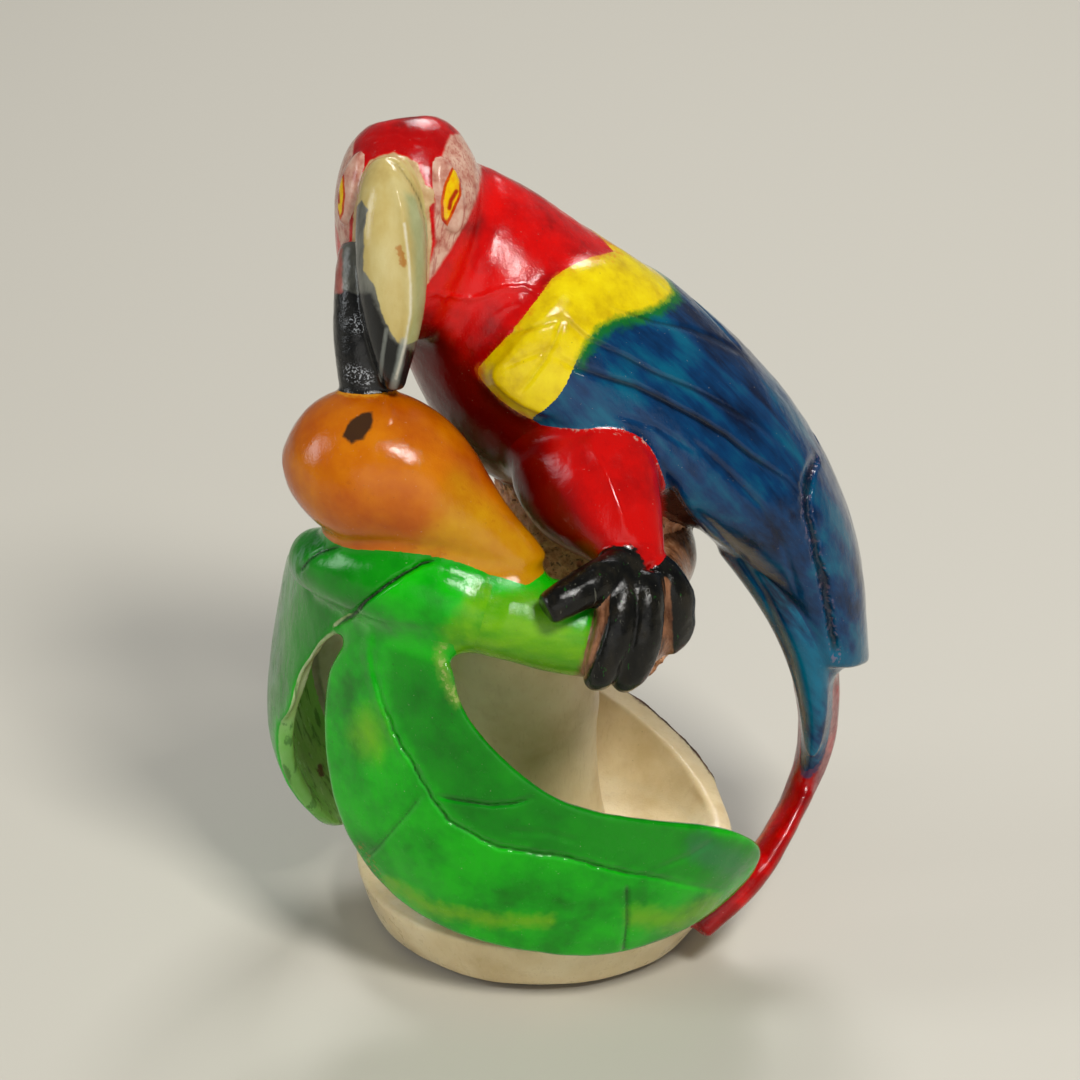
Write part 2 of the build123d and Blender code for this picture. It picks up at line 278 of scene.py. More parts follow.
def surface(first, field):
    """Points and quads of a field's zero surface."""
    grid = openvdb.FloatGrid(FAR)
    grid.transform = LATTICE
    grid.copyFromArray(np.pad(field, 1, constant_values=FAR), ijk=tuple(int(c) - 1 for c in first))
    points, quads = grid.convertToQuads(0.0)
    return largest_shells(np.asarray(points, float), np.asarray(quads, np.int64))


def normal_share(x):
    """Share of a Gaussian below x."""
    return 0.5 * (1 + math.erf(x / math.sqrt(2)))


def sample(field, points, first=ORIGIN):
    """Values of a field, whose first cell is given, at points."""
    place = points / VOXEL - first
    base = np.clip(np.floor(place).astype(np.int32), 0, np.array(field.shape) - 2)
    part = np.clip(place - base, 0, 1).astype(np.float32)
    total = np.zeros(len(points), np.float32)
    for corner in range(8):
        bits = np.array([corner & 1, corner >> 1 & 1, corner >> 2 & 1])
        weight = np.prod(np.where(bits, part, 1 - part), axis=1)
        at = base + bits
        total += weight * field[at[:, 0], at[:, 1], at[:, 2]]
    return total


def slope(field, points, first=ORIGIN):
    """Gradient of a field at points."""
    parts = []
    for axis in range(3):
        step = np.zeros(3)
        step[axis] = VOXEL
        rise = sample(field, points + step, first) - sample(field, points - step, first)
        parts.append(rise / (2 * VOXEL))
    return np.stack(parts, 1).astype(float)


FIELDS = {node: node_field(node) for node in NODES}

union = np.full(tuple(SHAPE), FAR, np.float32)
owner = np.zeros(tuple(SHAPE), np.uint8)
for number, node in enumerate(NODES):
    first, values = FIELDS[node]
    here = cut_out(first, values.shape, ORIGIN)
    nearer = values < union[here]
    union[here] = np.where(nearer, values, union[here])
    owner[here] = np.where(nearer, number, owner[here])

# A filled-share field has no crease where two solids only touch, so its blur leaves flush joints flush.
HALF_STEP = 0.5 * VOXEL
filled = np.clip(0.5 - (union - HALF_STEP) / VOXEL, 0, 1).astype(np.float32)
sharp = smooth(filled, SOFTEN)
wide = smooth(filled, SOFTEN_WIDE)
body = (np.float32(normal_share(HALF_STEP / SOFTEN)) - sharp) * np.float32(SOFTEN * ROOT_2PI)

# Where carved forms run into each other, the wider blur takes over.
MELTED = [
    ("leaf_joint", "side_leaf"),
    ("leaf_joint", "front_leaf"),
    ("front_leaf", "side_leaf"),
    ("leaf_joint", "branch"),
    ("front_leaf", "branch"),
    ("head", "torso"),
    ("torso", "left_thigh"),
    ("torso", "right_thigh"),
    ("torso", "left_shoulder"),
    ("torso", "right_shoulder"),
    ("fruit", "branch"),
    ("fruit", "leaf_joint"),
    ("tail", "tail_coverts"),
    ("base", "post"),
    ("base", "back_wall"),
]
for a, b in MELTED:
    (first_a, values_a), (first_b, values_b) = FIELDS[a], FIELDS[b]
    both = shared_box(first_a, values_a.shape, first_b, values_b.shape)
    if both is None:
        continue
    farther = np.maximum(values_a[both[0]], values_b[both[1]])
    box = cut_out(np.maximum(first_a, first_b), farther.shape, ORIGIN)
    level = np.float32(normal_share(HALF_STEP / SOFTEN_WIDE))
    soft = (level - wide[box]) * np.float32(SOFTEN_WIDE * ROOT_2PI)
    body[box] += np.clip((MELT_REACH - farther) / MELT_FADE, 0, 1) * (soft - body[box])

# True distances again, so that engraving of any depth works alike everywhere.
skin_points, skin_quads = surface(ORIGIN, body)
body = to_field(skin_points, ORIGIN, ORIGIN + SHAPE, quads=skin_quads.astype(np.uint32))
del filled, sharp, union

# ---------------------------------------------------------------- engraving

cells = np.argwhere(np.abs(body) < CARVE_REACH).astype(np.int32)
places = ((cells + ORIGIN) * VOXEL).astype(np.float32)
owners = owner[cells[:, 0], cells[:, 1], cells[:, 2]]
change = np.zeros(len(cells), np.float32)
carved = np.zeros(len(cells), np.float32)


def cells_of(nodes):
    """Which of the cells near the surface belong to these nodes."""
    return np.isin(owners, [NODES.index(node) for node in nodes])


def facing(points):
    """Unit normals of the carved body at points."""
    outward = slope(body, points)
    outward /= np.maximum(np.linalg.norm(outward, axis=1), 1e-6)[:, None]
    return outward


def towards_front(points, outward, plane):
    """How squarely the surface faces the front, after folding."""
    if plane is not None:
        behind = (points - plane[0]) @ plane[1] < 0
        turned = outward - 2 * (outward @ plane[1])[:, None] * plane[1]
        outward = np.where(behind[:, None], turned, outward)
    return outward @ BACK


def engrave(nodes, line, depth, width, plane=None, taper=0.15, wobble=0.0, keen=False):
    """A groove (depth above 0) or a ridge (below 0) along a line of the front chart, on what faces front.

    width is its half width, taper the share of its length that each end fades over, keen a sharp crest.
    """
    chosen = np.flatnonzero(cells_of(nodes))
    spots = places[chosen].astype(float)
    line = np.array(line, float)
    there = chart(spots, plane)
    if wobble:
        swing = speckle(spots, 0.9, 5) + 0.7 * speckle(spots, 0.35, 6)
        there = chart(spots + swing[:, None] * np.array([wobble, 0, wobble]), plane)
    close = ((there > line.min(0) - width) & (there < line.max(0) + width)).all(1)
    chosen, spots, there = chosen[close], spots[close], there[close]
    gap, along = to_line(there, line)
    close = gap < width
    chosen, spots, gap, along = chosen[close], spots[close], gap[close], along[close]
    outward = facing(spots)
    front = np.clip((towards_front(spots, outward, plane) - GRAZING) / GRAZING_FADE, 0, 1)
    ends = np.clip(np.minimum(along, 1 - along) / taper, 0, 1)
    profile = (1 - gap / width) ** 2
    if not keen:
        profile *= 1 + 2 * gap / width
    amount = profile * front * np.sqrt(ends)
    change[chosen] += depth * amount
    if depth > 0:
        carved[chosen] = np.maximum(carved[chosen], amount * min(1, depth / DARKEST_CUT_DEPTH))


def roughen(nodes, sizes, depths, seed, sink=0.0):
    """Random hollows of several sizes. sink moves the mean surface inwards."""
    chosen = np.flatnonzero(cells_of(nodes))
    spots = places[chosen].astype(float)
    for k, (size, depth) in enumerate(zip(sizes, depths)):
        change[chosen] += depth * speckle(spots, size, seed + k)
    change[chosen] += sink


BIRD = ["head", "torso", "left_thigh", "right_thigh", "tail"]
FLIGHT = ["left_wing", "right_wing"]
SHOULDERS = ["left_shoulder", "right_shoulder"]
WINGS = FLIGHT + SHOULDERS
TOES = [f"{side}_toe_{n}" for side in ("left", "right") for n in (1, 2, 3, 4)]
LEAVES = ["front_leaf", "side_leaf", "leaf_joint"]

roughen(BIRD + WINGS, (3, 1.1, 0.4), (0.06, 0.025, 0.012), 10)
roughen(LEAVES + ["branch", "fruit"], (3.4, 1.3, 0.45), (0.07, 0.03, 0.01), 20)
roughen(TOES, (1.2, 0.4), (0.08, 0.03), 30)
roughen(["lower_bill"], (1.5, 0.35), (0.05, 0.025), 35)
roughen(["upper_bill"], (2, 0.6), (0.03, 0.01), 38)
roughen(["base", "back_wall", "post"], (4, 1.5), (0.12, 0.04), 40)
roughen(["stump"], (2.2, 1.0, 0.5, 0.28), (0.35, 0.28, 0.2, 0.1), 50)
roughen(["foot_skin", "wall_skin"], (1.6, 0.5), (0.08, 0.05), 60, 0.05)

MIDRIB = [
    (-10.9, -6.9), (-10.8, -8), (-10.4, -9.7), (-9.4, -12.5), (-8.1, -14.5), (-7.1, -16.5), (-5.8, -18.1),
    (-4.2, -19.1), (-2.6, -19.8), (-0.6, -20.1), (1.9, -20.5), (4.5, -21.2), (7.1, -21.7), (9.4, -22.2),
    (11.5, -22.6),
]
engrave(["front_leaf"], MIDRIB, 0.22, 0.24, taper=0.2, wobble=0.07)
LEAF_CUTS = [
    (-0.12, 0.5, 0.15, [(-10.9, -5), (-11.2, -7.5), (-10.6, -9.8), (-9.7, -12.3), (-8.4, -14.6)]),
    (0.22, 0.22, 0.15, [(-6.8, -16.5), (-5.2, -16.8), (-3.2, -17.1), (-1.8, -17), (-0.4, -16.6)]),
    (0.18, 0.24, 0.15, [(-7.5, -16.3), (-8.7, -17.8), (-10.6, -20), (-11.5, -20.8)]),
    (0.22, 0.24, 0.05, [(5.6, -22.3), (5.6, -24.8), (5.3, -27)]),
    (0.12, 0.3, 0.15, [(7.6, -21.2), (9.6, -20.4), (11.2, -19.4)]),
    (0.08, 0.4, 0.15, [(-2.2, -18.8), (0.5, -18.9), (2.6, -19.5)]),
]
for depth, width, taper, line in LEAF_CUTS:
    engrave(["front_leaf"], line, depth, width, taper=taper)
KNOT_GROOVE = [
    (-6.5, -1.2), (-7.7, -1.6), (-8.8, -2.2), (-10, -3), (-11.2, -3.9), (-12.1, -4.9), (-13.3, -5.6),
]
engrave(["leaf_joint", "front_leaf", "side_leaf"], KNOT_GROOVE, 0.34, 0.26, taper=0.12, wobble=0.16)
engrave(["leaf_joint", "side_leaf"], [(-12.6, -0.3), (-14.2, -0.8), (-14.9, -1.3), (-15.6, -2.2)], 0.22, 0.22)

engrave(WINGS, [(1.5, 14.3), (3, 12.9), (5.3, 11.9), (7.3, 10.8), (10, 9.7), (12, 8.6), (14, 7.5), (15.8, 6)],
        0.2, 0.34, BODY_FOLD, 0.3)
engrave(WINGS, [(0.8, 12), (1.9, 11.3), (4.1, 10.5), (6.1, 9.9), (8.1, 8.9), (10, 7.9), (12, 6.7),
                (13.6, 5.4), (15.9, 3.9), (17, 2.6)], 0.26, 0.36, BODY_FOLD, 0.25)
engrave(WINGS, [(4.5, 15.2), (5.3, 14.8), (7.3, 14.1), (9.6, 13.6), (11.2, 13), (13, 12)], 0.18, 0.3,
        BODY_FOLD)
CLEFT = [
    (17.9, 5.5), (17.4, 4.5), (17.2, 3.5), (17.2, 1.6), (17.7, -0.4), (18.3, -2.8), (18.7, -4.9),
    (19.1, -7.6),
]
engrave(FLIGHT, CLEFT, 0.42, 0.5, BODY_FOLD, 0.1, 0.1)
engrave(FLIGHT, [(9.7, 6.5), (12, 4.5), (14.2, 2.3), (15.8, -0.6), (16.8, -3.9)], 0.16, 0.36, BODY_FOLD, 0.3)
engrave(FLIGHT, [(9.9, 2), (11, 1.1), (12.6, -0.5), (14.2, -2.9), (15.7, -5.8)], 0.16, 0.36, BODY_FOLD, 0.3)
engrave(FLIGHT, [(4.6, 8.2), (7.5, 7.3), (10.2, 5.6)], 0.1, 0.3, BODY_FOLD, 0.3)
engrave(SHOULDERS, [(1.5, 14.5), (1, 12.9), (0.3, 11.6), (-0.5, 10.5), (-1.4, 9.4)], 0.16, 0.3, BODY_FOLD)
engrave(SHOULDERS, [(-3, 13), (-1.6, 13.4), (-0.5, 13.7), (1.3, 14.3)], 0.16, 0.3, BODY_FOLD)
engrave(SHOULDERS, [(-2.3, 11.1), (-1.3, 11.6), (0, 12.1), (0.8, 12.4)], 0.1, 0.25, BODY_FOLD)
engrave(WINGS, [(1.7, 14.6), (3, 13.4), (5.1, 12.4)], -0.14, 0.4, BODY_FOLD)
engrave(["tail_coverts"], [(11.5, 1), (14.5, -3.5), (16.2, -7.5), (17.1, -12.5)], 0.14, 0.35, BODY_FOLD, 0.2)

engrave(["torso", "head"], [(-7.2, 16), (-6.1, 15.7), (-5.2, 15.5), (-4, 15.7), (-2.9, 16.1), (-1.4, 16.3),
                            (0.5, 16)], -0.13, 0.25, BODY_FOLD, 0.2, 0.25)
engrave(["torso"], [(-2.9, 14.6), (-1.2, 15.3), (0.9, 15.1)], -0.08, 0.2, BODY_FOLD, 0.3, 0.25)
engrave(["head"], [(-11.6, 25.3), (-9.8, 25.9), (-7.6, 25.2)], 0.06, 0.2, HEAD_FOLD, 0.2, 0.3)
engrave(["head"], [(-11.2, 25.9), (-9.3, 26.3), (-7, 25.8)], 0.05, 0.2, HEAD_FOLD, 0.2, 0.3)
engrave(["left_thigh", "right_thigh"], [(3.2, 6.9), (3.7, 5.5), (4.3, 4.2), (4.8, 2.9), (5.3, 1.6), (5.6, 0)],
        -0.28, 1.1, BODY_FOLD, 0.2, keen=True)
engrave(["upper_bill"], [(-9.6, 24), (-8.8, 21), (-8.55, 18.4), (-8.4, 16.5), (-8.4, 14.6), (-8.9, 12.1),
                         (-9.6, 9.9)], -0.38, 0.9, None, 0.2, keen=True)
engrave(["upper_bill", "head"], [(-9.8, 24.6), (-9.2, 24.2), (-8.4, 23.1), (-7.8, 22), (-7.45, 20.8)], 0.18,
        0.2)
engrave(["fruit"], [(-9.9, 9.7), (-9.8, 8.5), (-9.5, 7.6)], -0.2, 0.5)
engrave(["left_toe_2"], [(4.2, -3.6), (4.2, -5.5), (3.6, -7.4), (2.9, -8.9)], 0.18, 0.25)
engrave(["left_toe_3"], [(6.2, -3.2), (6.3, -5), (5.9, -7.2)], 0.15, 0.25)

body[cells[:, 0], cells[:, 1], cells[:, 2]] += change
groove = np.zeros(tuple(SHAPE), np.float32)
groove[cells[:, 0], cells[:, 1], cells[:, 2]] = carved
del cells, places, owners, change, carved, owner


# ---------------------------------------------------------------- pieces


def own_share(nodes):
    """Field below 0 where a cell is nearer to these nodes than to any other: (first cell, array)."""
    firsts = np.array([FIELDS[n][0] for n in nodes])
    lasts = np.array([FIELDS[n][0] + np.array(FIELDS[n][1].shape) for n in nodes])
    first, last = firsts.min(0), lasts.max(0)
    shape = tuple(int(c) for c in last - first)
    own = np.full(shape, FAR, np.float32)
    other = np.full(shape, FAR, np.float32)
    for node, (there, values) in FIELDS.items():
        both = shared_box(first, shape, there, values.shape)
        if both is None:
            continue
        target = own if node in nodes else other
        target[both[0]] = np.minimum(target[both[0]], values[both[1]])
    return first, np.float32(0.5) * (own - other)


def near(node, points):
    """Distance from points to a CAD node, up to the band."""
    first, values = FIELDS[node]
    place = np.rint(points / VOXEL).astype(int) - first
    held = ((place >= 0) & (place < values.shape)).all(1)
    gap = np.full(len(points), BAND)
    place = place[held]
    gap[held] = values[place[:, 0], place[:, 1], place[:, 2]]
    return gap


def add(name, data):
    made = bpy.data.objects.new(name, data)
    bpy.context.scene.collection.objects.link(made)
    return made


def build(name, nodes, paint):
    """One piece: its share of the carved body as a closed mesh, with the masks that its paint needs."""
    first, share = own_share(nodes)
    there = cut_out(first, share.shape, ORIGIN)
    lapped = share - np.float32(LAP)
    points, quads = surface(first, np.maximum(body[there], lapped))
    # Points on the carved surface, and on the bevel that the lattice leaves along a border, go onto it.
    on_body = np.abs(sample(body, points)) < ON_BODY
    on_edge = on_body & (np.abs(sample(lapped, points, first)) < ON_EDGE)
    for _ in range(SNAP_STEPS):
        for field, corner, moved in ((body, ORIGIN, on_body), (lapped, first, on_edge)):
            value, tilt = sample(field, points[moved], corner), slope(field, points[moved], corner)
            step = value / np.maximum((tilt**2).sum(1), 0.05)
            points[moved] -= np.clip(step, -SNAP_LIMIT, SNAP_LIMIT)[:, None] * tilt
    outward = facing(points)
    outward[~on_body] = 0
    beyond = np.clip((sample(lapped, points, first) + LAP) / (0.5 * LAP), 0, 1)
    points -= outward * (TUCK * beyond)[:, None]
    masks = {mask: maker(points, outward) for mask, maker in MASKS.get(name, {}).items()}
    masks["groove"] = sample(groove, points)
    # how closely other carving surrounds a point; the paints darken it as painted shade
    masks["hollow"] = (sample(wide, points) - 0.5) * 2
    points = np.clip(points, CAD_LOW, CAD_HIGH)
    mesh = bpy.data.meshes.new(name)
    mesh.from_pydata((points / 1000).tolist(), [], quads.tolist())
    mesh.update()
    mesh.polygons.foreach_set("use_smooth", np.ones(len(quads), bool))
    mesh.normals_split_custom_set_from_vertices(outward.tolist())
    for mask, values in masks.items():
        layer = mesh.attributes.new(mask, "FLOAT", "POINT")
        layer.data.foreach_set("value", np.asarray(values, np.float32))
    piece = add(name, mesh)
    mesh.materials.append(paint())
    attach(piece, "root")
    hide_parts(*nodes)


def limited(values):
    return np.clip(values, -MASK_LIMIT, MASK_LIMIT)


def drawn(points, outward, plane, depth):
    """A mask of the front chart, kept to the surfaces that the front shows."""
    shown = (towards_front(points, outward, plane) + 0.3) * 3
    return limited(np.minimum(depth, shown))


def area(outline, plane=None):
    """Mask: signed distance into an outline drawn on the front chart."""
    return lambda points, outward: drawn(points, outward, plane, inside(chart(points, plane), outline))


def stroke(line, width, plane=None):
    """Mask: signed distance into a brush stroke of that half width on the front chart."""
    return lambda points, outward: drawn(points, outward, plane,
        width - to_line(chart(points, plane), line)[0])


def on_head(outline):
    """Mask: an outline on either side of the head, kept off the torso behind it."""
    marked = area(outline, HEAD_FOLD)
    return lambda points, outward: np.minimum(marked(points, outward), 2 * (0.4 - near("head", points)))


def beside(*nodes):
    """Mask: distance to the nearest of these nodes."""
    return lambda points, outward: np.min([near(node, points) for node in nodes], axis=0)


def nowhere(points, outward):
    return np.full(len(points), -MASK_LIMIT)


def above(height):
    """Mask: height over a level."""
    return lambda points, outward: np.clip(points[:, 2] - height, -3, 3)


CERE = [
    (-12.6, 20.5), (-12, 23.6), (-11.4, 25.2), (-9.9, 25.2), (-8.6, 24.7), (-7.9, 24.3), (-7.4, 22.9),
    (-6.8, 22.6), (-6.8, 21.8), (-7.15, 21.5), (-7, 19.2), (-7.2, 16.6), (-8.1, 15.5), (-12.6, 15.5),
]
PATCH = [
    (-6.3, 24.8), (-5.8, 26.1), (-4.8, 26.3), (-3.7, 25.2), (-3.9, 22.6), (-4.5, 21), (-5.7, 18.9),
    (-6.8, 17.2), (-7.2, 16.7), (-7.1, 17.9), (-6.7, 19.2), (-6.8, 21), (-6.7, 22.7),
]
CROWN = [
    (-11.6, 25.4), (-9.4, 25.1), (-7.7, 24.3), (-7.1, 22.9), (-6.5, 24.5), (-5.8, 26.3), (-6.6, 26.7),
    (-11.2, 26.3),
]
BREAST_DARK_PAINT_AND_SHADE = [
    (-9.5, 15), (-6.5, 14), (-4.5, 11.5), (-1.3, 9.2), (0.6, 7.2), (1.6, 4), (-1.3, 2), (-7.5, 5.5),
]
BILL_SIDE = [
    (-11.5, 21.9), (-11.1, 21.3), (-11.35, 19.9), (-11.4, 17.4), (-10.7, 16.4), (-10.2, 14.6), (-9.7, 13.5),
    (-9, 12.5), (-8.6, 12.6), (-8.1, 12.8), (-6.5, 13.4), (-6.5, 8), (-14, 8), (-14, 18), (-12.3, 21),
]
GREEN_FLANK = [
    (-8.7, 22.4), (-8, 22.2), (-7.5, 21), (-6.4, 19.4), (-6.4, 11), (-8.9, 12.1), (-8.2, 14.6), (-8.1, 18.4),
]
EYE_OUTLINE = [
    (-5.3, 24.2), (-5, 23.4), (-5.1, 22.2), (-5.55, 21.2), (-6, 20.2), (-6.35, 20.7), (-6.4, 21.9),
    (-6.15, 23), (-5.7, 24),
]
THIGH_SHADE = [(-4, 9.5), (-0.4, 9.5), (0.6, 5.5), (1.7, 3.2), (2.9, 1), (4, -1.2), (1, -1.5), (-4, 2)]
BELLY_EDGE = [(-6, 6.5), (-2.6, 3.7), (0.4, 2.2), (2.1, 0.8), (3.8, -0.5), (6, 3), (2, 8), (-5, 8)]
FRINGED = [(1.4, 14), (2.6, 11), (8, 12), (14, 12), (14, 22), (1.4, 22)]
SHADED = [
    (-5.5, -0.6), (-6.5, -1.2), (-7.7, -1.6), (-8.8, -2.2), (-10, -3), (-11.2, -3.9), (-12.1, -4.9),
    (-13.3, -5.6), (-15, -8), (-18.5, -14), (-18.5, 3), (-5.5, 3),
]
BEHIND_LEAF = [(-13.2, -5), (-11.5, -6.4), (-12.4, -10.5), (-12.8, -18), (-17, -17), (-16.5, -9)]
INWARD = np.array([0.94, -0.34, 0.0])     # the way that the side leaf's inner face looks
UNDER_WING = [(8, 5), (12, 4), (11.5, 0.5), (9.5, -1), (8, -1)]

MASKS = {
    "plumage": {
        "cere": on_head(CERE),
        "patch": on_head(PATCH),
        "crown": on_head(CROWN),
        "dark": area(BREAST_DARK_PAINT_AND_SHADE, BODY_FOLD),
        "wing_gap": beside(*FLIGHT),
        "fringe": beside(*SHOULDERS),
        "under": area(UNDER_WING),
    },
    "bill_upper": {
        "side": area(BILL_SIDE),
        "tip": area([(-14.5, 16), (-10.9, 15.9), (-9.6, 13), (-8.2, 12.2), (-6, 12.6), (-6, 7.5),
                     (-14.5, 7.5)]),
        "line": stroke([(-9.9, 13.6), (-10.15, 12), (-10.35, 10.2)], 0.12),
        "crest": stroke([(-8.8, 12.8), (-9.05, 11.4), (-9.45, 9.9)], 0.22),
        "flank": area(GREEN_FLANK),
        "ridge": stroke([(-8.75, 20.4), (-8.5, 18.4), (-8.35, 16.5), (-8.35, 14.6), (-8.75, 12.4),
                         (-9.3, 10.4)], 0.07),
        "speck": stroke([(-9.1, 18.8), (-8.9, 18.3), (-8.8, 17.8)], 0.2),
    },
    "bill_lower": {
        "upper": area([(-15, 16.3), (-12.4, 16.1), (-11.6, 15.8), (-9, 16), (-9, 23), (-15, 23)]),
        "cheek": area([(-15, 15.6), (-12.75, 16), (-12.8, 20), (-12.5, 23), (-15, 23)]),
        "glint": stroke([(-11.8, 14), (-11, 13.7)], 0.55),
        "glint_low": stroke([(-12.1, 10.8), (-11.2, 10.4)], 0.5),
    },
    "fruit_carved": {
        "mark": area([(-12.3, 7.7), (-11.5, 8.2), (-10.8, 8.3), (-10.8, 7.3), (-11.4, 6.5), (-12.2, 6.2),
                      (-12.7, 6.7)]),
        "yellow": area([(-5.5, 4.5), (-3, 2.5), (1.5, -1), (0.5, -4), (-3.5, -2.8), (-8, -0.6), (-6.5, 1.5)]),
        "bill_gap": beside("upper_bill", "lower_bill"),
        "green_gap": beside("branch", "leaf_joint"),
    },
    "leaf_front": {
        "patch": area([(-12.6, -12.6), (-11.9, -10.8), (-10.9, -10.4), (-10, -11.6), (-9.6, -13.2),
                       (-10.2, -14.5), (-11.6, -14.2)]),
        "streak": stroke([(-9.8, -22), (-7, -23.8), (-3, -24.6), (0.6, -24.6)], 0.35),
        "streak_tip": stroke([(6.2, -24.3), (9, -24.6), (11.2, -23.6)], 0.6),
        "worn": stroke([(-11.6, -19.7), (-10.9, -21), (-9.6, -23.1), (-7, -25.6), (-3, -27.2)], 0.25),
        "pale": stroke([(-6.2, -6.4), (-6.5, -7.4), (-6.1, -8.8), (-5.4, -10.3)], 0.3),
        "teal": stroke([(10.4, -19.9), (12.4, -20.9)], 0.9),
        "upper": area([(-9.8, -7), (-9.8, -10), (-8.9, -12.5), (-7.6, -14.7), (-5.4, -17.9), (-2.6, -19.6),
                       (2.5, -20.5), (7.5, -21.6), (12, -22.6), (15, -20), (4, -17), (-3, -12.5), (-5, -8)]),
    },
    "leaf_side": {
        "inner": lambda points, outward: limited(outward @ INWARD * 2),
        "teal": stroke([(-17.6, -9), (-17, -5.2), (-15.8, -1.5)], 0.55),
        "spot": stroke([(-14.2, -14.6), (-14.1, -15.1)], 0.18),
        "high": above(18),
        "shaded": area(SHADED),
    },
    "leaf_knot": {
        "shaded": area(SHADED),
        "teal": stroke([(-16.2, -2.8), (-15.2, -0.9), (-14.2, -0.2)], 0.5),
        "lime": area([(-6.2, -6), (-4, -2.8), (-1, -2), (3, -6), (1, -11), (-6, -9)]),
    },
    "branch_carved": {
        "lime": area([(-6.2, -6.5), (-4.6, -3.6), (-2.4, -3.4), (-0.4, -3.2), (1.5, -5.4), (3.9, -6),
                      (3.9, -11), (-6.2, -10)]),
        "brown": lambda points, outward: limited(points[:, 0] - 1.7 - 0.28 * (points[:, 2] - 24)),
        "pale": stroke([(-6.6, -6.4), (-5.6, -6.5)], 0.5),
    },
    "stump_bark": {"belly": area(BELLY_EDGE)},
    "claw_left_2": {"bare": area([(2.9, -3.5), (4.5, -3.4), (4.35, -5.2), (3.6, -7.5), (2.7, -9.4),
                                  (1.2, -9.4), (2.4, -6.2)])},
    "claw_left_4": {"bare": stroke([(8, -2.8), (8.1, -5), (8.2, -7.2)], 0.4)},
    "nut_base": {"skin_gap": beside("foot_skin"), "leaf_gap": beside("front_leaf", "side_leaf")},
    "nut_wall": {"skin_gap": beside("wall_skin"), "behind": area(BEHIND_LEAF)},
    "skin_wall": {"behind": area(BEHIND_LEAF)},
    "skin_foot": {"behind": nowhere},
    "tail_feathers": {
        "blue_gap": beside("tail_coverts"),
        "pale": stroke([(18.6, -8.6), (18.9, -11), (18.6, -14), (18, -16.2)], 0.45, BODY_FOLD),
    },
}
for side in ("left", "right"):
    thigh_node, wing_node, shoulder_node = f"{side}_thigh", f"{side}_wing", f"{side}_shoulder"
    eye_fold = None if side == "left" else HEAD_FOLD
    MASKS[f"thigh_{side}"] = {
        "dark": area(THIGH_SHADE, BODY_FOLD),
        "wing_gap": beside(wing_node, shoulder_node),
        "toe_gap": beside(f"{side}_toe_1", f"{side}_toe_3"),
    }
    MASKS[f"shoulder_{side}"] = {
        "red_gap": beside("torso"),
        "blue_gap": beside(wing_node),
        "fringed": area(FRINGED, BODY_FOLD),
    }
    MASKS[f"wing_{side}"] = {
        "yellow_gap": beside(shoulder_node),
        "fringed": area(FRINGED, BODY_FOLD),
        "red_gap": beside(thigh_node, "torso"),
        "low": above(22),
        "cleft": stroke(CLEFT, 0.35, BODY_FOLD),
    }
    MASKS[f"eye_{side}"] = {
        "iris": area(EYE_OUTLINE, eye_fold),
        "slit": stroke([(-5.4, 22.5), (-5.75, 21.9), (-5.85, 21.4)], 0.14, eye_fold),
    }
    for n in (1, 2, 3, 4):
        MASKS.setdefault(f"claw_{side}_{n}", {"bare": nowhere})


# ---------------------------------------------------------------- paints


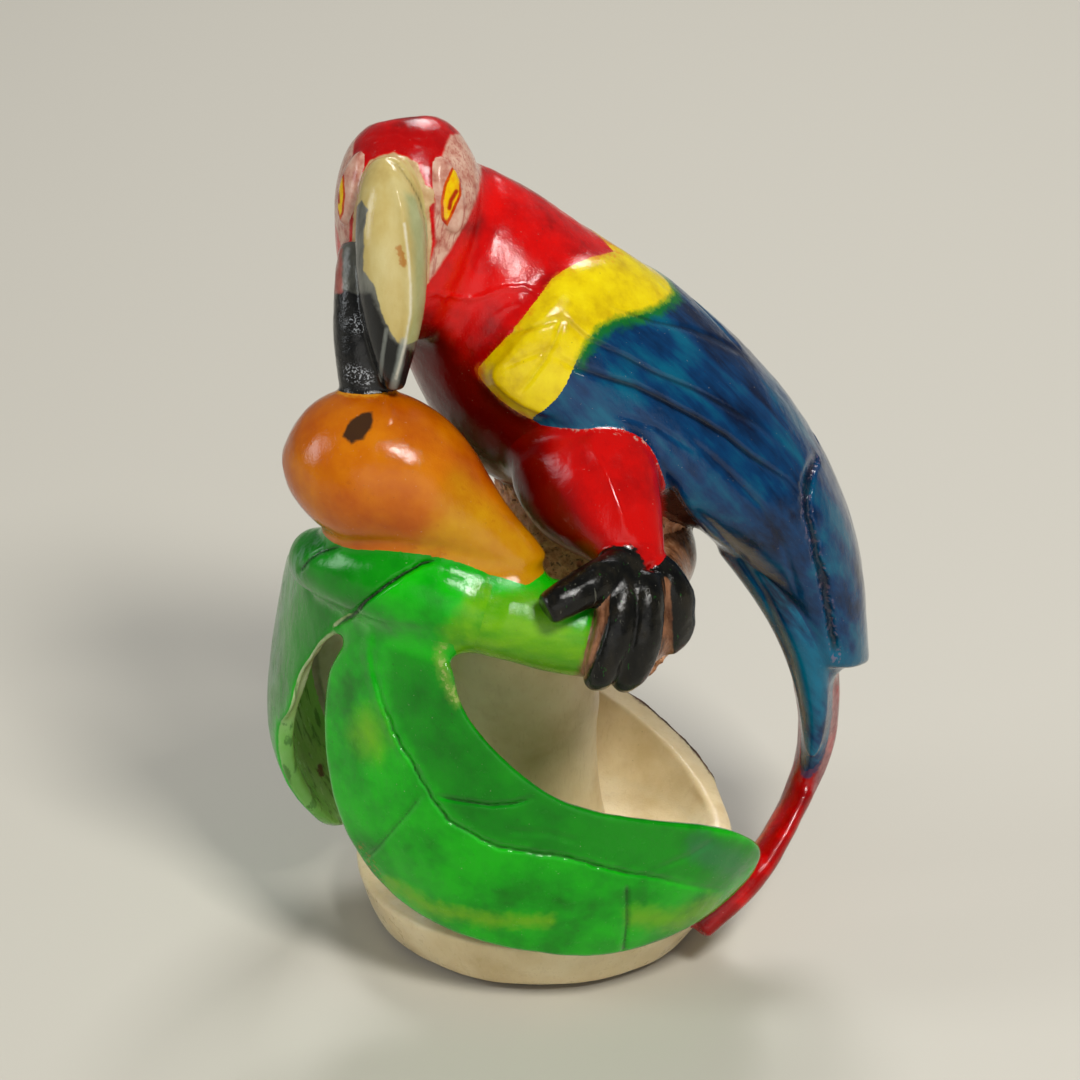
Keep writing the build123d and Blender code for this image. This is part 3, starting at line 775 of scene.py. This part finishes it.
class Paint:
    """A node material whose colours are laid over each other, in an object space of millimetres."""

    def __init__(self, name):
        self.material = bpy.data.materials.new(name)
        self.material.use_nodes = True
        self.tree = self.material.node_tree
        self.shader = self.tree.nodes["Principled BSDF"]
        place = self.tree.nodes.new("ShaderNodeTexCoord").outputs["Object"]
        scale = self.tree.nodes.new("ShaderNodeVectorMath")
        scale.operation = "SCALE"
        scale.inputs["Scale"].default_value = 1000
        self.tree.links.new(place, scale.inputs[0])
        self.mm = scale.outputs[0]
        self.colour = None

    def put(self, value, socket):
        """Links a node's output to a socket, or sets the socket to a number or colour."""
        if hasattr(value, "is_linked"):
            self.tree.links.new(value, socket)
        elif isinstance(value, tuple):
            socket.default_value = (*value, 1)[:4]
        else:
            socket.default_value = value

    def noise(self, size, detail=3.0, rough=0.55, stretch=None, turn=0.0, shift=0.0):
        """Noise, 0 to 1, of that size in millimetres. stretch gives the axes' sizes after a turn about Y."""
        node = self.tree.nodes.new("ShaderNodeTexNoise")
        node.inputs["Scale"].default_value = 1 / size
        node.inputs["Detail"].default_value = detail
        node.inputs["Roughness"].default_value = rough
        source = self.mm
        if stretch or shift:
            mapping = self.tree.nodes.new("ShaderNodeMapping")
            mapping.vector_type = "TEXTURE"
            mapping.inputs["Rotation"].default_value = (0, turn, 0)
            mapping.inputs["Scale"].default_value = stretch or (1, 1, 1)
            mapping.inputs["Location"].default_value = (shift, shift, shift)
            self.tree.links.new(source, mapping.inputs["Vector"])
            source = mapping.outputs["Vector"]
        self.tree.links.new(source, node.inputs["Vector"])
        return node.outputs["Fac"]

    def math(self, operation, a, b):
        node = self.tree.nodes.new("ShaderNodeMath")
        node.operation = operation
        self.put(a, node.inputs[0])
        self.put(b, node.inputs[1])
        return node.outputs[0]

    def both(self, a, b):
        return self.math("MULTIPLY", a, b)

    def spread(self, value, low, high, to_low=0.0, to_high=1.0):
        """value from low to high becomes to_low to to_high, eased at both ends."""
        node = self.tree.nodes.new("ShaderNodeMapRange")
        node.interpolation_type = "SMOOTHSTEP"
        self.put(value, node.inputs["Value"])
        for socket, number in zip(("From Min", "From Max", "To Min", "To Max"), (low, high, to_low, to_high)):
            node.inputs[socket].default_value = number
        return node.outputs["Result"]

    def mask(self, name):
        """One of the piece's own masks."""
        node = self.tree.nodes.new("ShaderNodeAttribute")
        node.attribute_name = name
        return node.outputs["Fac"]

    def tones(self, fac, *colours, low=0.3, high=0.7):
        """Colours blended one into the next as fac goes from low to high."""
        node = self.tree.nodes.new("ShaderNodeValToRGB")
        ramp = node.color_ramp
        spots = np.linspace(low, high, len(colours))
        ramp.elements[0].position, ramp.elements[1].position = spots[0], spots[-1]
        for spot in spots[1:-1]:
            ramp.elements.new(spot)
        for element, colour in zip(ramp.elements, colours):
            element.color = (*colour, 1)
        self.put(fac, node.inputs["Fac"])
        return node.outputs["Color"]

    def lay(self, colour, mask, strength=1.0):
        """Lays a colour over what is there where mask is 1."""
        node = self.tree.nodes.new("ShaderNodeMix")
        node.data_type = "RGBA"
        self.put(self.both(mask, strength) if strength != 1.0 else mask, node.inputs[0])
        self.put(self.colour, node.inputs[6])
        self.put(colour, node.inputs[7])
        self.colour = node.outputs[2]

    def edge(self, name, soft=0.1, wobble=0.3, size=0.6, shift=0.0, flip=False, at=0.0):
        """1 inside a mask's distance, with a brushed edge."""
        rough_edge = self.both(self.math("SUBTRACT", self.noise(size, 4, 0.6, shift=shift), 0.5), 2 * wobble)
        depth = self.math("ADD", self.mask(name), rough_edge)
        if flip:
            return self.spread(depth, at - soft, at + soft, 1, 0)
        return self.spread(depth, at - soft, at + soft)

    def within(self, name, soft, wobble, size, reach):
        """1 where a mask's distance is under reach, with a brushed edge."""
        return self.edge(name, soft, wobble, size, flip=True, at=reach)

    def finish(self, rough=(0.12, 0.3), grain=0.35, grain_size=0.12, brush=0.5, groove_dark=0.75, dust=0.35,
               pits=0.5, coat=0.4, subsurface=0.0, shade=0.5):
        """Darker in the cuts, painted shade in hollows, dust specks, pinholes, uneven lacquer."""
        # darker in the engraved cuts, the deeper the darker
        self.lay((0.003, 0.003, 0.002), self.spread(self.mask("groove"), 0.3, 0.85), groove_dark)
        # painted shade in hollows, where nearby carving closes in
        self.lay((0.01, 0.006, 0.003), self.spread(self.mask("hollow"), 0.25, 0.9), shade)
        self.lay((0.5, 0.45, 0.36), self.spread(self.noise(0.16, 2, 0.5, shift=3.7), 0.735, 0.78), dust)
        self.lay((0.02, 0.013, 0.008), self.spread(self.noise(0.3, 2, 0.5, shift=11.3), 0.2, 0.25, 1, 0),
                 pits)
        self.put(self.colour, self.shader.inputs["Base Color"])
        self.put(self.spread(self.noise(0.9, 4, 0.6, shift=1.9), 0.3, 0.75, *rough),
                 self.shader.inputs["Roughness"])
        self.shader.inputs["Coat Weight"].default_value = coat
        self.shader.inputs["Coat Roughness"].default_value = 0.05
        self.shader.inputs["Specular IOR Level"].default_value = 0.14
        if subsurface:
            self.shader.inputs["Subsurface Weight"].default_value = subsurface
            self.shader.inputs["Subsurface Scale"].default_value = 0.001
            self.shader.inputs["Subsurface Radius"].default_value = (1.2, 0.8, 0.4)
        height = self.both(self.noise(grain_size, 3, 0.6), grain)
        height = self.math("ADD", height, self.both(self.noise(0.5, 3, 0.6, stretch=(1, 1, 3)), brush))
        bump = self.tree.nodes.new("ShaderNodeBump")
        bump.inputs["Strength"].default_value = 0.35
        bump.inputs["Distance"].default_value = 0.00012
        self.tree.links.new(height, bump.inputs["Height"])
        self.tree.links.new(bump.outputs["Normal"], self.shader.inputs["Normal"])
        self.tree.links.new(bump.outputs["Normal"], self.shader.inputs["Coat Normal"])
        return self.material

    def chips(self, name, at, wobble=0.25, shift=0.0, **more):
        """Broken flakes within a mask's reach."""
        broken = self.spread(self.noise(0.35, 3, 0.6, shift=shift), 0.52, 0.6)
        return self.both(self.edge(name, 0.1, wobble, 0.4, at=at, **more), broken)


RED = [(0.2, 0, 0), (0.44, 0, 0), (0.6, 0.001, 0)]
CRIMSON = (0.045, 0, 0)
NAVY = (0, 0.006, 0.028)
BLUE = (0, 0.03, 0.1)
TEAL = (0, 0.085, 0.155)
GREENS = [(0, 0.17, 0), (0, 0.31, 0.001), (0.004, 0.42, 0.001)]
LIMES = [(0.06, 0.27, 0), (0.16, 0.38, 0.001)]
FEATHERWISE = math.radians(50)
BARE_SKIN = [(0.34, 0.1, 0.07), (0.5, 0.26, 0.19), (0.58, 0.37, 0.28)]
HORN = [(0.06, 0.06, 0.05), (0.17, 0.17, 0.14)]
DEEP_GREEN = (0, 0.13, 0.001)
GREY_GREENS = [(0.32, 0.33, 0.2), (0.5, 0.5, 0.35)]


def red_ground(p):
    return p.tones(p.noise(3.5, 4, 0.6), *RED, low=0.28, high=0.6)


def plumage():
    p = Paint("plumage")
    p.colour = red_ground(p)
    # darker paint and painted shade on the breast's underside
    p.lay(CRIMSON, p.edge("dark", 0.9, 0.5, 1.5), 0.9)
    p.lay((0.26, 0, 0.001), p.edge("crown", 0.15, 0.2, 0.5), 0.55)
    patch = p.edge("patch", 0.12, 0.12, 0.5)
    p.lay(p.tones(p.noise(0.9, 3), *BARE_SKIN, low=0.28, high=0.62), patch)
    lines = p.spread(p.noise(0.2, 2, 0.5, stretch=(0.7, 0.7, 7), turn=0.25), 0.53, 0.62)
    p.lay((0.28, 0.015, 0.015), p.both(patch, lines), 0.45)
    p.lay(p.tones(p.noise(0.8, 3), (0.42, 0.26, 0.12), (0.55, 0.4, 0.21), low=0.35, high=0.65),
          p.edge("cere", 0.07, 0.12, 0.4))
    p.lay((0.5, 0.09, 0.005), p.within("fringe", 0.15, 0.35, 0.7, 0.2), 0.75)
    p.lay((0.008, 0.003, 0.002), p.within("wing_gap", 0.15, 0.15, 0.5, 0.02), 0.6)
    p.lay((0.012, 0.006, 0.004), p.edge("under", 0.3, 0.3, 0.8), 0.95)
    return p.finish(rough=(0.14, 0.32), grain=0.4)


def thigh():
    p = Paint("thigh")
    p.colour = p.tones(p.noise(3.0, 4, 0.6), (0.3, 0, 0), (0.5, 0.001, 0), high=0.55)
    # painted shade over the thigh's upper left
    p.lay(CRIMSON, p.edge("dark", 1.0, 0.5, 1.5), 0.8)
    p.lay((0.45, 0.25, 0.2), p.chips("wing_gap", 0.28, 0.3, flip=True), 0.8)
    p.lay((0.006, 0.004, 0.003), p.within("toe_gap", 0.1, 0.3, 0.4, 0.15))
    return p.finish(rough=(0.1, 0.26), grain=0.3)


def tail():
    p = Paint("tail")
    p.colour = red_ground(p)
    p.lay((0.2, 0, 0), p.spread(p.noise(1.6, 4), 0.35, 0.6), 0.7)
    p.lay(p.tones(p.noise(0.5, 3), (0.12, 0.08, 0.1), (0.33, 0.25, 0.24)), p.edge("pale", 0.2, 0.2, 0.5), 0.5)
    p.lay((0.002, 0.03, 0.08), p.within("blue_gap", 0.12, 0.2, 0.5, 0.2), 0.8)
    return p.finish()


def blue_ground(p):
    streaks = p.noise(1.3, 5, 0.6, stretch=(6, 1, 1), turn=FEATHERWISE)
    clouds = p.noise(5.0, 3, 0.5, shift=2.1)
    mixed = p.math("ADD", p.both(streaks, 0.5), p.both(clouds, 0.5))
    return p.tones(mixed, NAVY, BLUE, TEAL, low=0.38, high=0.6)


def teal_streaks(p):
    return p.spread(p.noise(1.2, 4, 0.6, stretch=(5, 1, 1), turn=FEATHERWISE, shift=5), 0.42, 0.66)


def wing():
    p = Paint("wing")
    p.colour = blue_ground(p)
    p.lay((0, 0.1, 0.19), p.both(p.within("low", 1.5, 1.5, 2.0, 0), teal_streaks(p)), 0.6)
    fringed = p.edge("fringed", 0.8, 0.5, 1.0)
    p.lay((0.004, 0.13, 0.01), p.both(fringed, p.within("yellow_gap", 0.35, 0.7, 1.0, 0.65)), 0.9)
    p.lay((0.22, 0.34, 0.003), p.both(fringed, p.within("yellow_gap", 0.15, 0.3, 0.8, 0.1)), 0.8)
    p.lay((0.2, 0.13, 0.19), p.chips("cleft", 0.0, 0.3, 2), 0.5)
    p.lay((0.5, 0.36, 0.3), p.chips("red_gap", 0.1, 0.25, 8, flip=True), 0.8)
    return p.finish(rough=(0.1, 0.26), groove_dark=0.7)


def coverts():
    p = Paint("coverts")
    p.colour = blue_ground(p)
    p.lay((0, 0.13, 0.22), teal_streaks(p), 0.75)
    return p.finish()


def shoulder():
    p = Paint("shoulder")
    p.colour = p.tones(p.noise(1.8, 4, 0.6), (0.5, 0.34, 0), (0.66, 0.5, 0), (0.74, 0.6, 0.002))
    p.lay((0.62, 0.17, 0.002), p.within("red_gap", 0.25, 0.5, 0.8, 0.25), 0.85)
    green = p.both(p.edge("fringed", 0.8, 0.5, 1.0), p.within("blue_gap", 0.2, 0.4, 1.0, 0.15))
    p.lay((0.05, 0.2, 0.005), green, 0.8)
    return p.finish(rough=(0.12, 0.26), groove_dark=0.4, dust=0.15)


def bill():
    p = Paint("bill")
    p.colour = p.tones(p.noise(2.2, 4, 0.55, stretch=(1, 1, 2.5)), (0.38, 0.27, 0.08), (0.46, 0.36, 0.13),
                       (0.52, 0.44, 0.2))
    p.lay(p.tones(p.noise(1.2, 3), (0.24, 0.28, 0.13), (0.33, 0.37, 0.2)), p.edge("flank", 0.35, 0.2, 0.8),
          0.8)
    p.lay((0.34, 0.12, 0.01), p.edge("speck", 0.08, 0.25, 0.25), 0.8)
    p.lay(p.tones(p.noise(0.8, 3, stretch=(1, 1, 3)), *HORN), p.edge("side", 0.06, 0.12, 0.6))
    p.lay((0.006, 0.006, 0.006), p.edge("tip", 0.2, 0.2, 0.6), 0.97)
    p.lay((0.16, 0.17, 0.15), p.edge("line", 0.08, 0.03, 0.4), 0.8)
    # painted highlights: a grey line on the black tip's crest and a near-white line down the ridge
    p.lay((0.24, 0.26, 0.23), p.edge("crest", 0.16, 0.08, 0.5), 0.8)
    p.lay((0.72, 0.7, 0.58), p.edge("ridge", 0.09, 0.06, 0.6), 0.6)
    return p.finish(rough=(0.1, 0.22), dust=0.1, pits=0.15, groove_dark=0.7)


def lower_bill():
    p = Paint("lower_bill")
    p.colour = p.tones(p.noise(0.9, 4, 0.6, stretch=(1, 1, 3)), (0.003, 0.003, 0.003), (0.012, 0.012, 0.011))
    p.lay(p.tones(p.noise(0.8, 3, stretch=(1, 1, 3)), *HORN), p.edge("upper", 0.08, 0.12, 0.5))
    p.lay(p.tones(p.noise(0.9, 3), (0.26, 0.04, 0.035), (0.38, 0.16, 0.12)), p.edge("cheek", 0.12, 0.15, 0.5))
    # painted highlights: grainy glints on the black lower bill
    for name in ("glint", "glint_low"):
        painted_glints = p.both(p.edge(name, 0.3, 0.3, 0.5), p.spread(p.noise(0.13, 2, 0.5, shift=6), 0.52, 0.62))
        p.lay((0.38, 0.4, 0.42), painted_glints, 0.75)
    return p.finish(rough=(0.1, 0.28), grain=0.8, grain_size=0.16, dust=0.3)


def claw():
    p = Paint("claw")
    p.colour = p.tones(p.noise(0.8, 4, 0.6, stretch=(1, 1, 3)), (0.001, 0.001, 0.001), (0.004, 0.004, 0.003),
                       (0.012, 0.01, 0.006))
    p.lay((0.13, 0.13, 0.1), p.spread(p.noise(0.25, 3, 0.6, stretch=(1, 1, 6), shift=4), 0.66, 0.72), 0.4)
    p.lay((0.003, 0.1, 0.004), p.spread(p.noise(0.4, 3, 0.6, stretch=(1, 1, 3), shift=9), 0.66, 0.72), 0.5)
    p.lay(p.tones(p.noise(0.5, 4, 0.6, stretch=(1, 1, 3)), (0.09, 0.03, 0.012), (0.3, 0.14, 0.07)),
          p.edge("bare", 0.08, 0.15, 0.5))
    return p.finish(rough=(0.08, 0.26), grain=0.5, dust=0.15, coat=0.25)


def eye():
    p = Paint("eye")
    p.colour = p.tones(p.noise(0.9, 3), *BARE_SKIN, low=0.28, high=0.62)
    p.lay(p.tones(p.noise(0.5, 3), (0.36, 0.01, 0), (0.55, 0.09, 0)),
          p.edge("iris", 0.04, 0.05, 0.3, at=-0.02))
    p.lay(p.tones(p.noise(0.6, 3), (0.66, 0.3, 0), (0.72, 0.5, 0)), p.edge("iris", 0.05, 0.08, 0.4, at=0.17))
    p.lay((0.34, 0.02, 0), p.edge("slit", 0.08, 0.03, 0.3))
    return p.finish(rough=(0.1, 0.2), dust=0.1, pits=0.1)


def fruit():
    p = Paint("fruit")
    p.colour = p.tones(p.noise(3.6, 4, 0.55), (0.35, 0.055, 0), (0.44, 0.1, 0), (0.52, 0.15, 0), low=0.32)
    p.lay(p.tones(p.noise(1.5, 4), (0.42, 0.17, 0), (0.5, 0.26, 0.001)), p.edge("yellow", 1.2, 0.6, 1.2),
          0.85)
    p.lay((0.28, 0.05, 0), p.spread(p.noise(0.7, 4, 0.65, shift=3), 0.62, 0.72), 0.3)
    p.lay((0.014, 0.01, 0.006), p.edge("mark", 0.12, 0.3, 0.9), 0.94)
    p.lay((0.55, 0.27, 0.01), p.within("bill_gap", 0.15, 0.25, 0.4, 0.3), 0.6)
    p.lay((0.05, 0.12, 0), p.within("green_gap", 0.06, 0.12, 0.4, 0.02), 0.8)
    return p.finish(rough=(0.1, 0.22), groove_dark=0.5)


def green_ground(p):
    return p.tones(p.noise(3.6, 4, 0.55), *GREENS, high=0.6)


def leaf():
    p = Paint("leaf")
    p.colour = green_ground(p)
    # painted shade on the leaf's upper half, above the midrib
    p.lay((0, 0.12, 0.002), p.edge("upper", 0.5, 0.4, 1.5), 0.6)
    for name, soft, at in (("patch", 1.1, 0.5), ("streak", 0.4, 0.0), ("streak_tip", 0.6, 0.0)):
        p.lay((0.17, 0.4, 0.002), p.edge(name, soft, 0.6, 0.9, at=at), 0.7)
    p.lay((0.2, 0.2, 0.01), p.chips("worn", 0.0, 0.3), 0.8)
    p.lay((0.24, 0.36, 0.05), p.edge("pale", 0.4, 0.5, 0.5), 0.5)
    p.lay((0.4, 0.42, 0.14), p.chips("pale", 0.0, 0.4, 4), 0.45)
    p.lay((0.03, 0.17, 0.07), p.edge("teal", 0.6, 0.5, 0.8), 0.5)
    return p.finish(rough=(0.14, 0.3), groove_dark=0.7)


# Painted sheen: a pale reflection streaked along the leaves' left edge
def sheen(p):
    return p.both(p.edge("teal", 0.3, 0.3, 0.8), p.spread(p.noise(0.6, 4, stretch=(1, 1, 4)), 0.4, 0.6))


def side_leaf():
    p = Paint("side_leaf")
    p.colour = green_ground(p)
    p.lay(DEEP_GREEN, p.edge("shaded", 0.5, 0.4, 0.8), 0.6)
    inner = p.edge("inner", 0.3, 0.3, 1.0)
    p.lay(p.tones(p.noise(1.8, 4, stretch=(1, 1, 2.5)), (0.3, 0.36, 0.16), (0.46, 0.54, 0.27),
                  (0.6, 0.66, 0.44)), inner)
    p.lay((0.1, 0.52, 0.03), p.both(inner, p.within("high", 5.0, 1.5, 1.5, 0)), 0.8)
    brush = p.spread(p.noise(0.7, 4, 0.6, stretch=(1, 1, 7), shift=7), 0.53, 0.62)
    p.lay((0.02, 0.14, 0.008), p.both(inner, brush), 0.65)
    p.lay((0.2, 0.36, 0.26), sheen(p), 0.35)
    p.lay((0.07, 0.01, 0.004), p.edge("spot", 0.08, 0.12, 0.3), 0.9)
    return p.finish(rough=(0.14, 0.3))


def knot():
    p = Paint("knot")
    p.colour = green_ground(p)
    p.lay(DEEP_GREEN, p.edge("shaded", 0.5, 0.4, 0.8), 0.6)
    p.lay((0.2, 0.36, 0.26), sheen(p), 0.35)
    p.lay(p.tones(p.noise(1.0, 4), *LIMES), p.edge("lime", 0.7, 0.8, 1.2), 0.85)
    return p.finish(rough=(0.12, 0.28), groove_dark=0.92)


def branch():
    p = Paint("branch")
    p.colour = green_ground(p)
    p.lay(p.tones(p.noise(1.2, 4, 0.6, stretch=(3, 1, 1)), *LIMES), p.edge("lime", 0.7, 0.8, 1.2), 0.92)
    p.lay((0.4, 0.45, 0.12), p.chips("pale", 0.0, 0.3), 0.8)
    p.lay(p.tones(p.noise(0.6, 4, 0.6, stretch=(1, 1, 3)), (0.05, 0.02, 0.008), (0.2, 0.08, 0.035),
                  (0.32, 0.16, 0.08)), p.edge("brown", 0.35, 0.5, 0.8))
    return p.finish(rough=(0.14, 0.36), grain=0.6)


def bark():
    p = Paint("bark")
    p.colour = p.tones(p.noise(0.7, 5, 0.7), (0.1, 0.038, 0.016), (0.46, 0.18, 0.078), (0.72, 0.36, 0.19),
                       low=0.28, high=0.6)
    p.lay((0.5, 0.28, 0.16), p.spread(p.noise(0.3, 3, 0.6, shift=2), 0.58, 0.68), 0.6)
    p.lay((0.02, 0.01, 0.006), p.spread(p.noise(0.45, 4, 0.65, shift=8), 0.36, 0.44, 1, 0), 0.75)
    p.lay((0.07, 0, 0), p.edge("belly", 0.25, 0.4, 0.8), 0.95)
    return p.finish(rough=(0.3, 0.65), grain=1.2, grain_size=0.2, coat=0.15, dust=0.5, shade=0.15)

IVORY_FINISH = {"dust": 0.1, "pits": 0.3, "subsurface": 0.15, "shade": 0.2}


def ivory(tan):
    p = Paint("ivory")
    p.colour = p.tones(p.noise(5.0, 4, 0.55), (0.56, 0.43, 0.22), (0.68, 0.55, 0.32), (0.76, 0.65, 0.42))
    p.lay((0.45, 0.3, 0.14), p.spread(p.noise(2.6, 4, 0.6, shift=4), 0.5, 0.75), tan)
    p.lay((0.5, 0.37, 0.2), p.spread(p.noise(0.25, 3, 0.6, stretch=(1, 1, 5), shift=1), 0.55, 0.7), 0.25)
    return p


def nut_base():
    p = ivory(0.25)
    p.lay((0.05, 0.024, 0.01), p.within("skin_gap", 0.12, 0.25, 0.6, 0.12), 0.8)
    p.lay((0.22, 0.26, 0.05), p.within("leaf_gap", 0.1, 0.2, 0.5, 0.1), 0.5)
    return p.finish(rough=(0.25, 0.45), coat=0.25, **IVORY_FINISH)


def nut_wall():
    p = ivory(0.4)
    p.lay((0.09, 0.045, 0.02), p.within("skin_gap", 0.15, 0.3, 0.7, 0.1), 0.7)
    p.lay(p.tones(p.noise(1.2, 4), *GREY_GREENS), p.edge("behind", 0.3, 0.3, 0.8), 0.85)
    return p.finish(rough=(0.3, 0.5), coat=0.2, **IVORY_FINISH)


def nut_post():
    return ivory(0.35).finish(rough=(0.3, 0.5), coat=0.2, **IVORY_FINISH)


def nut_skin():
    p = Paint("skin")
    p.colour = p.tones(p.noise(1.3, 5, 0.65), (0.02, 0.01, 0.006), (0.075, 0.035, 0.018), (0.17, 0.09, 0.045))
    p.lay(p.tones(p.noise(1.2, 4), *GREY_GREENS), p.edge("behind", 0.3, 0.3, 0.8), 0.8)
    return p.finish(rough=(0.45, 0.75), grain=1.0, coat=0.0)


PAINTS = (plumage, thigh, tail, coverts, wing, shoulder, bill, lower_bill, claw, eye, fruit, leaf, side_leaf,
          knot)
PAINTS += (branch, bark, nut_base, nut_wall, nut_post, nut_skin)
PAINT_OF = {paint.__name__: paint for paint in PAINTS}

for name, (nodes, slot, paint) in PIECES.items():
    build(name, nodes, PAINT_OF[paint])

# ---------------------------------------------------------------- camera, lights, floor


def aim(thing, place):
    """Puts a camera or light at a place, looking at the target."""
    thing.location = Vector(place) / 1000
    thing.rotation_euler = (Vector(TARGET) - Vector(place)).to_track_quat("-Z", "Y").to_euler()


camera = add("Camera", bpy.data.cameras.new("Camera"))
camera.data.sensor_width = SENSOR
camera.data.lens = SENSOR * DISTANCE / VIEW_WIDTH
camera.data.clip_start = 0.01
camera.data.clip_end = 10
aim(camera, EYE_POINT)
bpy.context.scene.camera = camera


def softbox(name, place, size, power, colour=(1, 1, 1)):
    """A rectangular studio light, aimed at the target. power is in watts."""
    light = bpy.data.lights.new(name, "AREA")
    light.shape = "RECTANGLE"
    light.size, light.size_y = size[0] / 1000, size[1] / 1000
    light.energy = power
    light.color = colour
    aim(add(name, light), place)


softbox("key", (120, -230, 330), (80, 80), 1.35, (1, 0.98, 0.94))
softbox("fill_left", (-330, -60, 160), (90, 180), 0.4, (0.93, 0.97, 1))
softbox("back_top", (60, 240, 260), (140, 90), 0.6)
softbox("fill_front", (40, -330, 70), (440, 240), 0.3, (1, 0.98, 0.95))

world = bpy.data.worlds.new("World")
bpy.context.scene.world = world
world.use_nodes = True
world.node_tree.nodes["Background"].inputs["Color"].default_value = (0.85, 0.86, 0.88, 1)
world.node_tree.nodes["Background"].inputs["Strength"].default_value = 0.21
bpy.context.scene.view_settings.view_transform = "Standard"

FLOOR = 1.5             # half its side, in metres
FLOOR_CORNERS = [(-FLOOR, -FLOOR, 0), (FLOOR, -FLOOR, 0), (FLOOR, FLOOR, 0), (-FLOOR, FLOOR, 0)]
floor_mesh = bpy.data.meshes.new("floor")
floor_mesh.from_pydata(FLOOR_CORNERS, [], [(0, 1, 2, 3)])
floor = add("floor", floor_mesh)
floor_material = bpy.data.materials.new("floor")
floor_material.use_nodes = True
floor_shader = floor_material.node_tree.nodes["Principled BSDF"]
floor_shader.inputs["Base Color"].default_value = (0.5, 0.475, 0.41, 1)
floor_shader.inputs["Roughness"].default_value = 0.6
floor_mesh.materials.append(floor_material)
